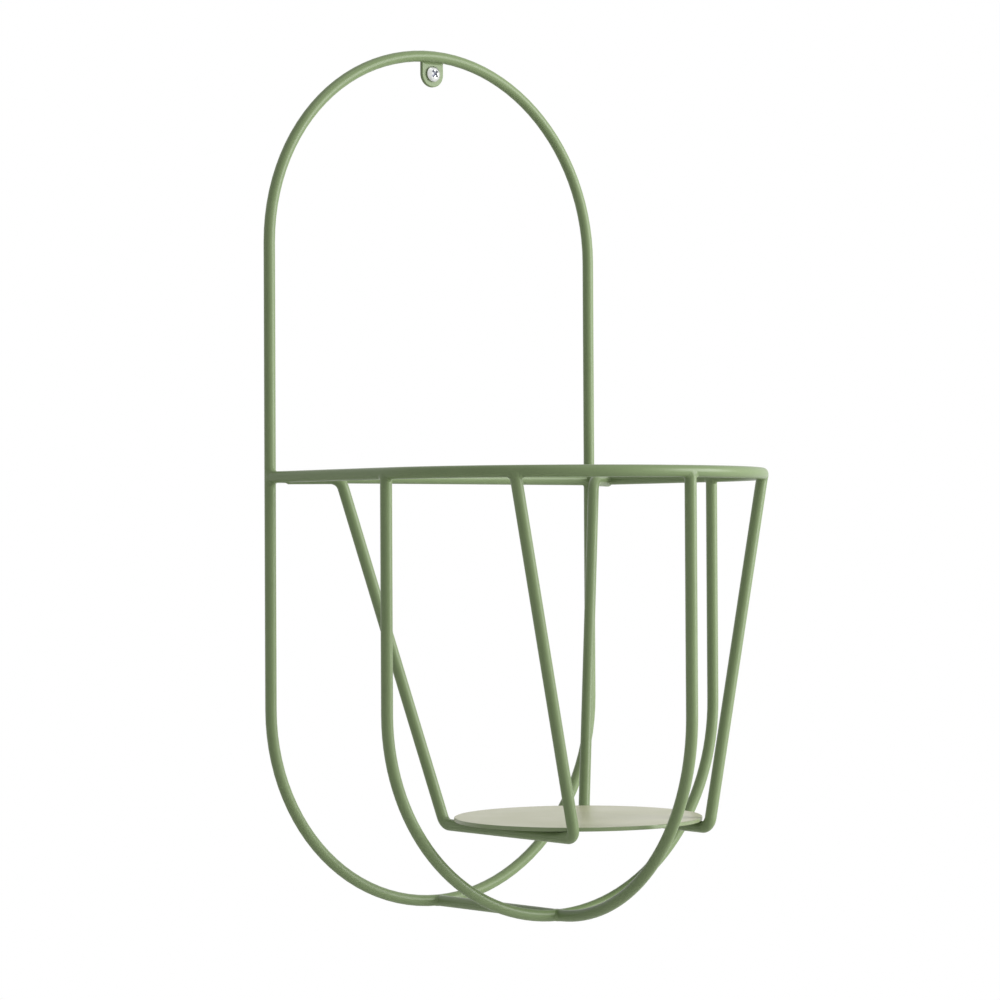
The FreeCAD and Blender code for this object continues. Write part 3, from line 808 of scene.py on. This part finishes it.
@dataclass(frozen=True)
class WeldPlan:
    """All the welds of the planter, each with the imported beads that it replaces.

    Attributes:
        gauge: Lengths of the frame.
        route: Corner points of the struts.
        run_margin: End of a weld run, in from the plate's edge.
        run_length: Length of a weld run.
        run_aside, run_below: Its axis, sideways from the chord's and below the plate.
        rim_leg, bar_leg: Legs of the welds at the ends of the rim and the back bar.
    """

    gauge: Gauge
    route: StrutRoute
    run_margin: float = 2.6 * MM
    run_length: float = 14.0 * MM
    run_aside: float = 2.4 * MM
    run_below: float = 0.75 * MM
    rim_leg: float = 2.3 * MM
    bar_leg: float = 1.4 * MM

    def welds(self) -> list[Placed]:
        """List all the welds.

        Returns:
            The fillets, then the runs under the plate.
        """
        found = self.middle_fillets()
        for side in Side:
            found += self.side_fillets(side)
        return found + [self.run(side, front) for side in Side for front in (True, False)]

    def fillet(self, name: str, foot: Array, carrier: Array, root: Array, wire: Array,
               seed: int, replaces: bool = True, **more: object) -> Placed:
        """Fillet weld by its fields, with the bead of the same name if there is one."""
        return (FilletWeld(f"weld_{name}", foot, carrier, root, wire, self.gauge.wire,
                           seed=seed, **more), (f"bead_{name}",) if replaces else ())

    def middle_fillets(self) -> list[Placed]:
        """List the fillet welds in the middle plane.

        Returns:
            The welds.
        """
        gauge = self.gauge
        curve = UP / gauge.half
        top = np.array([0, gauge.front, gauge.level])
        keel = np.array([0, gauge.cradle, gauge.keel])
        base = np.array([0, gauge.back, gauge.base])
        bar = unit(base - keel)
        return [
            self.fillet("front_top", top, RIGHT, top, -UP, 11, sag=TO_WALL / gauge.half),
            self.fillet("front_foot", keel, RIGHT, keel, -TO_WALL, 14, sag=curve,
                        wire_sag=curve),
            self.fillet("bottom_bar_front", keel, RIGHT, keel, bar, 17, sag=curve),
            self.fillet("bottom_bar_rear", base, RIGHT, base, -bar, 20, sag=curve),
        ]

    def side_fillets(self, side: Side) -> list[Placed]:
        """List the fillet welds of one side.

        Args:
            side: Side of the planter.

        Returns:
            The welds.
        """
        gauge, route = self.gauge, self.route
        sign, word = side.value, side.word
        corner = np.array([sign * gauge.half, gauge.back, gauge.level])
        cradle = np.array([sign * gauge.half, gauge.cradle, gauge.level])
        stub, elbow = route.stub(side), route.elbow(side)
        stub_foot = np.array([stub[0], stub[1], gauge.level])
        end, chord = route.end(side), route.foot(side, front=True)
        inwards = unit(np.array([0, gauge.cradle, gauge.level]) - end)
        salt = 30 + 20 * sign
        return [
            self.fillet(f"rim_{word}", corner, UP, corner, -TO_WALL, salt,
                        leg=self.rim_leg),
            self.fillet(f"back_bar_{word}", corner, UP, corner, -sign * RIGHT, salt + 3,
                        replaces=False, leg=self.bar_leg),
            self.fillet(f"stub_{word}", stub_foot, TO_WALL, stub, elbow - stub, salt + 6),
            self.fillet(f"cradle_{word}", cradle, TO_WALL, cradle, -UP, salt + 9),
            self.fillet(f"strut_front_{word}", end, np.cross(UP, inwards), end,
                        chord - end, salt + 12, sag=inwards / gauge.half),
        ]

    def run(self, side: Side, front: bool) -> Placed:
        """Place one weld run under the plate.

        Args:
            side: Side of the planter.
            front: Whether the run lies at the chord's front end.

        Returns:
            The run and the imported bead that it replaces.
        """
        gauge, route = self.gauge, self.route
        rear = route.foot(side, front=False)
        along = unit(route.foot(side, front=True) - rear)
        foot = route.foot(side, front)
        edge = math.sqrt(gauge.plate_half ** 2 - foot[0] ** 2)
        depth = gauge.plate_mid + edge - self.run_margin
        if front:
            depth = gauge.plate_mid - edge + self.run_margin + self.run_length
        shift = (-side.value * self.run_aside, 0.0, gauge.wire - self.run_below)
        start = rear + along * ((depth - rear[1]) / along[1]) + np.array(shift)
        name = f"plate_{'front' if front else 'rear'}_{side.word}"
        seed = 70 + 4 * side.value + int(front)
        return (WeldRun(f"weld_{name}", start, start + along * self.run_length,
                        seed=seed), (f"bead_{name}",))


# --- hanging tongue


@dataclass(frozen=True)
class HangingTongue:
    """Sheet-metal tongue with a hole for the screw, and its weld to the crown.

    The outline is a half circle below the hole and straight sides above it. Each
    outline point is joined to the hole's edge at the same angle, and the rings between
    them run over the front face, round the outer edge, over the back face and through
    the hole. The weld along its top is a quadratic curve between the front face and
    the underside of the crown's wire, swept across the tongue and closed inside it.

    Attributes:
        gauge: Lengths of the frame.
        half: Half width of the tongue.
        top: Height of its top above the hole.
        thick: Thickness of the sheet.
        hole: Radius of the hole.
        corner: Rounding of the upper corners.
        edge, back_edge: Rounding of the sheet's front and back edges.
        hole_edge, hole_back: Rounding of the hole's front and back edges.
        weld_half: Half length of the weld.
        weld_leg, weld_lumps: Length of its legs and their unevenness, as a share.
        weld_swell, weld_sink: Lift of its face and depth of its toes in the metal.
    """

    gauge: Gauge
    half: float
    top: float
    thick: float
    hole: float = 2.5 * MM
    corner: float = 0.8 * MM
    edge: float = 0.45 * MM
    back_edge: float = 0.25 * MM
    hole_edge: float = 0.3 * MM
    hole_back: float = 0.1 * MM
    weld_half: float = 6.6 * MM
    weld_leg: float = 1.5 * MM
    weld_lumps: float = 0.12
    weld_swell: float = 0.22 * MM
    weld_sink: float = 0.06 * MM

    @classmethod
    def from_frame(cls, gauge: Gauge) -> "HangingTongue":
        """Take the tongue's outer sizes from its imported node."""
        low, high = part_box("hanging_tab")
        return cls(gauge, half=high.x, top=high.z, thick=high.y - low.y)

    def outline(self) -> Array:
        """Work out the closed outline, counter-clockwise.

        Returns:
            Array of (x, z), of shape (points, 2).
        """
        rise = np.linspace(0, self.top - self.corner, 24)[:-1]
        right = np.stack([np.full_like(rise, self.half), rise], axis=1)
        centre = np.array([self.half - self.corner, self.top - self.corner])
        turn = centre + self.corner * spokes(np.linspace(0, np.pi / 2, 8))
        across = np.linspace(centre[0], -centre[0], 26)[1:-1]
        over = np.stack([across, np.full_like(across, self.top)], axis=1)
        mirror = np.array([-1.0, 1.0])
        bow = self.half * spokes(np.linspace(np.pi, 2 * np.pi, 64)[:-1])
        return np.concatenate([right, turn, over, turn[::-1] * mirror,
                               right[::-1] * mirror, bow[1:]])

    def sheet(self) -> Patch:
        """Work out the sheet with its hole.

        Returns:
            Its closed surface.
        """
        outline = self.outline()
        tangent = unit(np.roll(outline, -1, axis=0) - np.roll(outline, 1, axis=0))
        inwards = np.stack([-tangent[:, 1], tangent[:, 0]], axis=1)
        rim = spokes(np.arctan2(outline[:, 1], outline[:, 0]))
        bend = np.linspace(0, np.pi / 2, 6)
        fall, start = 1 - np.sin(bend), 1 - np.cos(bend)
        front = -self.thick
        # Rings as pairs of outline and y: the front, the outer edge, the back, the hole.
        rings = [((self.hole + self.edge) * rim * (1 - share) + outline * share, front)
                 for share in np.linspace(0, 1, 7)[1:-1]]
        rings += [(outline + self.edge * inset * inwards, front + self.edge * depth)
                  for inset, depth in zip(fall, start)]
        rings += [(outline + self.back_edge * inset * inwards, -self.back_edge * depth)
                  for inset, depth in zip(start, fall)]
        rings += [(outline * share + self.hole * rim * (1 - share), 0.0)
                  for share in (0.6, 0.25)]
        rings += [((self.hole + self.hole_back) * rim, 0.0),
                  (self.hole * rim, -self.hole_back)]
        rings += [((self.hole + self.hole_edge * inset) * rim,
                   front + self.hole_edge * depth) for inset, depth in zip(start, fall)]
        flat = np.stack([ring for ring, _ in rings])
        depth = np.array([[depth] for _, depth in rings])
        depth = np.broadcast_to(depth, flat.shape[:2])
        points = np.stack([flat[..., 0], depth, flat[..., 1]], axis=-1)
        return Patch(points, rows_closed=True)

    def weld(self) -> Patch:
        """Work out the weld between the front face and the crown's wire.

        Returns:
            Its closed surface.
        """
        gauge = self.gauge
        share = np.linspace(-1, 1, 72)
        across = self.weld_half * np.sin(share * np.pi / 2)
        taper = round_ends(across / self.weld_half, 4)
        leg = self.weld_leg * taper * (
            1 + self.weld_lumps * uneven(np.pi * share, 91, (2, 3, 5)))
        front = -self.thick
        offset = front - gauge.back
        seam = gauge.crown - math.sqrt(gauge.wire ** 2 - offset ** 2)
        angle = math.asin(offset / gauge.wire) - leg / gauge.wire
        sheet_toe = np.stack([np.full_like(leg, front), seam - leg], axis=-1)
        corner = np.array([front, seam])
        wire_toe = np.stack([gauge.back + gauge.wire * np.sin(angle),
                             gauge.crown - gauge.wire * np.cos(angle)], axis=-1)
        t = np.linspace(0, 1, 13)[:, None, None]
        hump = np.sin(np.pi * t)
        lift = self.weld_swell * hump * taper[:, None] - self.weld_sink * (1 - hump)
        outward = np.array([-0.6, -0.8])
        curve = quadratic(sheet_toe, corner, wire_toe, t) + outward * lift
        # The way back runs inside the two metals, which lie towards +Y and +Z.
        inwards = np.array([[0.1, 0.5], [0.7, 0.9], [0.5, 0.1]]) * MM
        back = np.stack([toe + step * taper[:, None] for toe, step
                         in zip((wire_toe, corner, sheet_toe), inwards)])
        section = np.concatenate([curve, back])
        drop = across ** 2 / (2 * gauge.half)
        x = np.broadcast_to(across, section.shape[:2])
        points = np.stack([x, section[..., 0], section[..., 1] - drop], axis=-1)
        return Patch(points.transpose(1, 0, 2))

    def build(self, coat: Material) -> None:
        """Make the tongue and its weld."""
        Piece("tongue", [self.sheet()], coat, Slot.GREEN_PAINT, ("hanging_tab",),
              crease=60.0).build()
        Piece("weld_tongue", [self.weld()], coat, Slot.GREEN_PAINT,
              ("bead_tab",)).build()


# --- screw


@dataclass(frozen=True)
class WallScrew:
    """Pan head screw with a cross recess, a neck, a thread and a point.

    The screw's axis is the Y axis, and its head faces the room. The head is a profile
    turned round the axis: a spherical dome, a rounded side and a flat underside. The
    recess is cut into the dome: its depth at a point is smooth_step(1/2 - d / wall)
    times a depth that lessens along the arms, with d the signed distance to two crossed
    arms and a round hub. The shank's radius is its core plus a ridge that runs round
    it once per pitch, fading out at the neck and towards the point.

    Attributes:
        seat, tip: Y of the head's underside and of the point.
        head, height: Radius and height of the head.
        side: Height of the head's side.
        dome: Radius of the dome, as a share of the head's.
        heel: Rounding above and below the side.
        neck, crest, core: Radii of the plain neck and of the thread's crest and root.
        pitch: Distance between turns of the thread.
        ridge: Half width of the thread, as a share of the pitch.
        run_in, shank_end: Length over which the thread grows, and Y where the point
            begins.
        thread_root_shade: Painted shade at the thread's root.
        span, hub: Length of the recess and radius of its round middle.
        arm: Width of its arms at the hub and at their ends.
        depth, lessening: Its depth in the middle, and by what share the arms' ends are
            shallower.
        wall: Width of its sloping walls.
        recess_shade_gain: Painted shade in the recess for each share of its depth.
        turn: Turn of the recess, in degrees.
        columns, shank_columns: Points round the head and the shank.
    """

    seat: float
    head: float
    height: float
    tip: float
    side: float = 0.9 * MM
    dome: float = 0.985
    heel: float = 0.12 * MM
    neck: float = 2.2 * MM
    crest: float = 2.0 * MM
    core: float = 1.35 * MM
    pitch: float = 1.8 * MM
    ridge: float = 0.32
    run_in: float = 1.6 * MM
    shank_end: float = 28.0 * MM
    thread_root_shade: float = 0.35
    span: float = 4.6 * MM
    arm: tuple[float, float] = (1.4 * MM, 1.175 * MM)
    hub: float = 1.0625 * MM
    depth: float = 1.5 * MM
    lessening: float = 0.45
    wall: float = 0.28 * MM
    recess_shade_gain: float = 1.6
    turn: float = 45.0
    columns: int = 192
    shank_columns: int = 48

    @classmethod
    def from_frame(cls, seat: float) -> "WallScrew":
        """Take the screw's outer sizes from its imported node, seated at a given Y."""
        low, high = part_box("wall_screw")
        return cls(seat, head=high.x, height=seat - low.y, tip=high.y)

    def recess(self, x: Array, z: Array) -> Array:
        """Work out the cross recess.

        Args:
            x: X of points of the head.
            z: Z of the points.

        Returns:
            The recess's depth at each point.
        """
        angle, end = math.radians(self.turn), self.span / 2
        first = np.abs(x * math.cos(angle) + z * math.sin(angle))
        second = np.abs(z * math.cos(angle) - x * math.sin(angle))
        away = np.hypot(x, z)
        half_arm = (self.arm[0] + (self.arm[1] - self.arm[0]) * away / end) / 2
        one = np.maximum(first - end, second - half_arm)
        other = np.maximum(second - end, first - half_arm)
        outside = np.minimum(np.minimum(one, other), away - self.hub)
        deep = self.depth * (1 - self.lessening * np.clip(away / end, 0, 1))
        return deep * smooth_step(0.5 - outside / self.wall)

    def head_patch(self) -> Patch:
        """Work out the head with its recess.

        Returns:
            Its closed surface.
        """
        rise = self.height - self.side
        ball = (self.head ** 2 + rise ** 2) / (2 * rise)
        radius = self.head * self.dome * np.linspace(0, 1, 74)
        dome = self.seat - self.height + ball - np.sqrt(ball ** 2 - radius ** 2)
        bend = np.linspace(0, np.pi / 2, 6)[1:]
        shoulder = radius[-1] + (self.head - radius[-1]) * np.sin(bend)
        shoulder_y = dome[-1] + self.heel * (1 - np.cos(bend))
        heel = self.heel * np.array([0.0, 0.3, 1.0])
        profile = np.concatenate([radius, shoulder, self.head - heel, [self.neck, 0.0]])
        level = np.concatenate([dome, shoulder_y, self.seat - heel[::-1],
                                [self.seat, self.seat]])
        turn = circle(self.columns)
        x, z = np.outer(profile, np.cos(turn)), np.outer(profile, np.sin(turn))
        cut = self.recess(x, z)
        cut[len(radius):] = 0.0
        # Painted shade: the recess is darkened in step with its depth.
        painted_shade = np.clip(cut / self.depth * self.recess_shade_gain, 0, 1)
        return Patch(np.stack([x, level[:, None] + cut, z], axis=-1), painted_shade=painted_shade)

    def shank_patch(self) -> Patch:
        """Work out the neck, the thread and the point.

        Returns:
            Their closed surface.
        """
        start = 0.5 * MM
        neck_y = np.array([self.seat - 0.2 * MM, self.seat - 0.2 * MM, -0.2 * MM,
                           0.4 * MM])
        neck = np.array([0.0, self.neck, self.neck, self.core])
        y = np.linspace(start, self.tip, 300)
        turn = circle(self.shank_columns)
        phase = (y[:, None] / self.pitch - turn / (2 * np.pi)) % 1.0
        ridge = np.clip(1 - np.abs(phase - 0.5) / self.ridge, 0, 1) ** 1.3
        fade = smooth_step((y - start) / self.run_in)[:, None]
        point = (self.tip - y) / (self.tip - self.shank_end)
        body = self.core + (self.crest - self.core) * ridge * fade
        body = body * np.sqrt(np.clip(point, 0, 1))[:, None]
        radius = np.concatenate([np.tile(neck[:, None], turn.size), body])
        level = np.broadcast_to(np.concatenate([neck_y, y])[:, None], radius.shape)
        # Painted shade at the thread's root, between the ridges.
        painted_shade = np.concatenate([np.zeros((neck.size, turn.size)),
                                self.thread_root_shade * (1 - ridge)])
        points = np.stack([radius * np.cos(turn), level, radius * np.sin(turn)], axis=-1)
        return Patch(points, painted_shade=painted_shade)

    def build(self, zinc: Material) -> None:
        """Make the screw as one piece of two closed shells."""
        Piece("screw", [self.head_patch(), self.shank_patch()], zinc, Slot.ZINC_SCREW,
              ("wall_screw",), crease=40.0).build()


# --- studio


@dataclass(frozen=True)
class Lamp:
    """A soft rectangular lamp, placed by angles from the camera's side.

    Attributes:
        name: Name of the lamp.
        turn, lift: Angles to the right of the camera and above the horizon, in degrees.
        range: Distance from the aim point.
        size: Width and height.
        power: Power in watts.
        colour: Linear RGB.
    """

    name: str
    turn: float
    lift: float
    range: float
    size: tuple[float, float]
    power: float
    colour: tuple[float, float, float] = (1.0, 1.0, 1.0)


@dataclass(frozen=True)
class Studio:
    """Camera, lamps, floor and surroundings.

    Attributes:
        target: Point that the camera is aimed at before its shift.
        distance: Distance from the camera to the target.
        yaw, pitch, roll: Camera's angles, in degrees.
        lens: Focal length for a 36 mm sensor.
        shift: Sideways and upward shift of the picture.
        surround: Strength of the even light from all sides.
        floor_depth, floor_radius: Z of the floor, and its radius.
        floor_fade: Distances from its middle where the floor starts and ends to fade.
        floor_colours: Darker and lighter grain of the floor, linear RGBA.
        grain_scale: Grain of the floor, cells per metre.
        wall_half, wall_top, wall_gap: Half width of the wall, Z of its top and Y of
            its face.
        lamps: The lamps.
    """

    target: tuple[float, float, float] = (0.0, -0.110, -0.2202)
    distance: float = 1.6095
    yaw: float = -38.312
    pitch: float = -1.142
    roll: float = -0.315
    lens: float = 112.124
    shift: tuple[float, float] = (-0.05778, -0.02598)
    surround: float = 0.38
    floor_depth: float = -0.80
    floor_radius: float = 1.8
    floor_fade: tuple[float, float] = (0.99, 1.764)
    floor_colours: tuple[Colour, Colour] = (
        (0.84, 0.84, 0.83, 1.0), (0.87, 0.87, 0.86, 1.0))
    grain_scale: float = 60.0
    wall_half: float = 2.0
    wall_top: float = 1.5
    wall_gap: float = 0.5 * MM
    lamps: tuple[Lamp, ...] = (
        Lamp("key", 83.0, 12.0, 2.2, (1.5, 1.5), 58.0),
        Lamp("top", 20.0, 72.0, 2.0, (1.0, 1.0), 4.0),
    )

    def heading(self, turn: float, lift: float) -> Vector:
        """Direction from the target.

        Args:
            turn: Angle to the camera's right, in degrees.
            lift: Angle above the horizon, in degrees.

        Returns:
            A unit vector.
        """
        around, up = math.radians(self.yaw + turn), math.radians(lift)
        return Vector((math.sin(around) * math.cos(up),
                       -math.cos(around) * math.cos(up), math.sin(up)))

    def set_camera(self) -> None:
        """Put the camera where the photograph was taken from."""
        back = self.heading(0.0, self.pitch)
        right = Vector((math.cos(math.radians(self.yaw)),
                        math.sin(math.radians(self.yaw)), 0.0))
        up = back.cross(right)
        tilt = math.radians(self.roll)
        level = right * math.cos(tilt) + up * math.sin(tilt)
        upright = up * math.cos(tilt) - right * math.sin(tilt)
        lens = bpy.data.cameras.new("camera")
        lens.lens = self.lens
        lens.sensor_width = 36.0
        lens.shift_x, lens.shift_y = self.shift
        lens.clip_start, lens.clip_end = 0.05, 50.0
        camera = link("camera", lens)
        place = Matrix((level, upright, back)).transposed().to_4x4()
        place.translation = Vector(self.target) + back * self.distance
        camera.matrix_world = place
        bpy.context.scene.camera = camera

    def set_lamps(self) -> None:
        """Hang the lamps round the planter, aimed at its middle."""
        for lamp in self.lamps:
            light = bpy.data.lights.new(lamp.name, "AREA")
            light.shape = "RECTANGLE"
            light.size, light.size_y = lamp.size
            light.energy = lamp.power
            light.color = lamp.colour
            fixture = link(lamp.name, light)
            heading = self.heading(lamp.turn, lamp.lift)
            place = (-heading).to_track_quat("-Z", "Y").to_matrix().to_4x4()
            place.translation = Vector(self.target) + heading * lamp.range
            fixture.matrix_world = place
            LOG.info("lamp %s: %.0f W", lamp.name, lamp.power)

    def set_surround(self) -> None:
        """White for the camera and in reflections, a plain even light otherwise."""
        bench = Bench(bpy.data.worlds.new("surround"), "OutputWorld")
        rays = bench.add("LightPath").outputs
        seen = bench.math("MAXIMUM", rays["Is Camera Ray"], rays["Is Glossy Ray"])
        seen = bench.math("MAXIMUM", seen, rays["Is Transmission Ray"])
        level = bench.spread(seen, self.surround, 1.0, 0.0, 1.0)
        bpy.context.scene.world = bench.finish(bench.add("Background", {
            "Color": (1.0, 1.0, 1.0, 1.0), "Strength": level}))

    def floor_material(self) -> Material:
        """Mix a pale matt floor that fades out to its edge and is clear from below.

        Returns:
            The material.
        """
        bench = Bench(bpy.data.materials.new("pale_floor"))
        place = bench.place()
        middle = (0.0, -self.target[1], -self.floor_depth)
        centred = bench.add("Mapping", {"Vector": place, "Location": middle}).outputs[0]
        away = bench.add("VectorMath", {0: centred}, operation="LENGTH").outputs["Value"]
        start, stop = self.floor_fade
        fade = bench.spread(away, 0.0, 1.0, start, stop)
        under = bench.add("NewGeometry").outputs["Backfacing"]
        grain = bench.spread(bench.noise(place, self.grain_scale, 3.0), 0.0, 1.0)
        matt = bench.add("BsdfPrincipled", {
            "Base Color": bench.mix(grain, *self.floor_colours), "Roughness": 0.9})
        return bench.finish(bench.blend(bench.math("MAXIMUM", fade, under), matt,
                                        bench.add("BsdfTransparent")))

    @staticmethod
    def wall_material() -> Material:
        """Make white for the camera in front, and clear from behind and to other rays.

        Returns:
            The material.
        """
        bench = Bench(bpy.data.materials.new("white_wall"))
        behind = bench.add("NewGeometry").outputs["Backfacing"]
        seen = bench.add("LightPath").outputs["Is Camera Ray"]
        return bench.finish(bench.blend(bench.math("SUBTRACT", seen, behind),
                                        bench.add("BsdfTransparent"),
                                        bench.add("Emission", {"Strength": 1.0})))

    @staticmethod
    def put_on_stage(name: str, patch: Patch, material: Material) -> None:
        """Show a flat patch as part of the stage, facing up or towards the room.

        Args:
            name: Name of the object.
            patch: Its surface.
            material: Its finish.
        """
        mesh = bpy.data.meshes.new(name)
        mesh.from_pydata(patch.points.reshape(-1, 3).tolist(), [],
                         patch.faces(0).tolist())
        Piece.close(mesh)
        facing = mesh.polygons[0].normal
        if facing.z - facing.y < 0:
            mesh.flip_normals()
        mesh.materials.append(material)
        link(name, mesh)

    def set_floor(self) -> None:
        """Lay a round floor under the planter, well below it as under a wall."""
        radius = np.linspace(0, self.floor_radius, 24)
        turn = circle(96)
        x = np.outer(radius, np.cos(turn))
        y = np.outer(radius, np.sin(turn)) + self.target[1]
        points = np.stack([x, y, np.full_like(x, self.floor_depth)], axis=-1)
        self.put_on_stage("floor", Patch(points), self.floor_material())

    def set_wall(self) -> None:
        """Stand the wall behind the planter, just behind the plane Y = 0."""
        x, z = np.meshgrid((-self.wall_half, self.wall_half),
                           (self.floor_depth, self.wall_top))
        points = np.stack([x, np.full_like(x, self.wall_gap), z], axis=-1)
        patch = Patch(points, columns_closed=False)
        self.put_on_stage("wall", patch, self.wall_material())

    def build(self) -> None:
        """Set up the whole studio."""
        self.set_camera()
        self.set_lamps()
        self.set_surround()
        self.set_floor()
        self.set_wall()
        bpy.context.scene.view_settings.view_transform = "Standard"


# --- planter


@dataclass(frozen=True)
class WallPlanter:
    """The whole planter: coated wires and plate, welds, tongue and screw.

    Attributes:
        wires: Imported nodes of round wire.
        plate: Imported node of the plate.
    """

    wires: tuple[str, ...] = (
        "back_loop", "rim", "back_bar", "cradle_loop", "front_wire", "bottom_bar",
        "strut_left", "strut_right",
    )
    plate: str = "plate"

    def dress(self, node: str, finish: Material) -> None:
        """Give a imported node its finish.

        Args:
            node: Name of the node.
            finish: Its material.
        """
        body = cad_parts[node]
        for place in body.material_slots:
            place.material = finish
        LOG.info("%-24s dressed in %s", node, finish.name)

    def build(self) -> None:
        """Build and dress every piece."""
        coat = PowderCoat().material()
        plate_coat = PowderCoat(name="powder_coat_green_plate", peel_scale=1100.0,
                                peel_strength=0.5, roughness=(0.28, 0.36),
                                sheen_level=0.5, dust=0.34).material()
        zinc = BrightZinc().material()
        for node in self.wires:
            self.dress(node, coat)
        self.dress(self.plate, plate_coat)
        gauge = Gauge.from_frame()
        plan = WeldPlan(gauge, StrutRoute(gauge))
        for weld, stands_for in plan.welds():
            Piece(weld.name, [weld.patch()], coat, Slot.GREEN_PAINT, stands_for).build()
        tongue = HangingTongue.from_frame(gauge)
        tongue.build(coat)
        WallScrew.from_frame(-tongue.thick).build(zinc)


def main() -> None:
    """Build the planter and its studio."""
    logging.basicConfig(level=logging.INFO, format="%(message)s")
    WallPlanter().build()
    Studio().build()


if __name__ == "__main__":
    main()
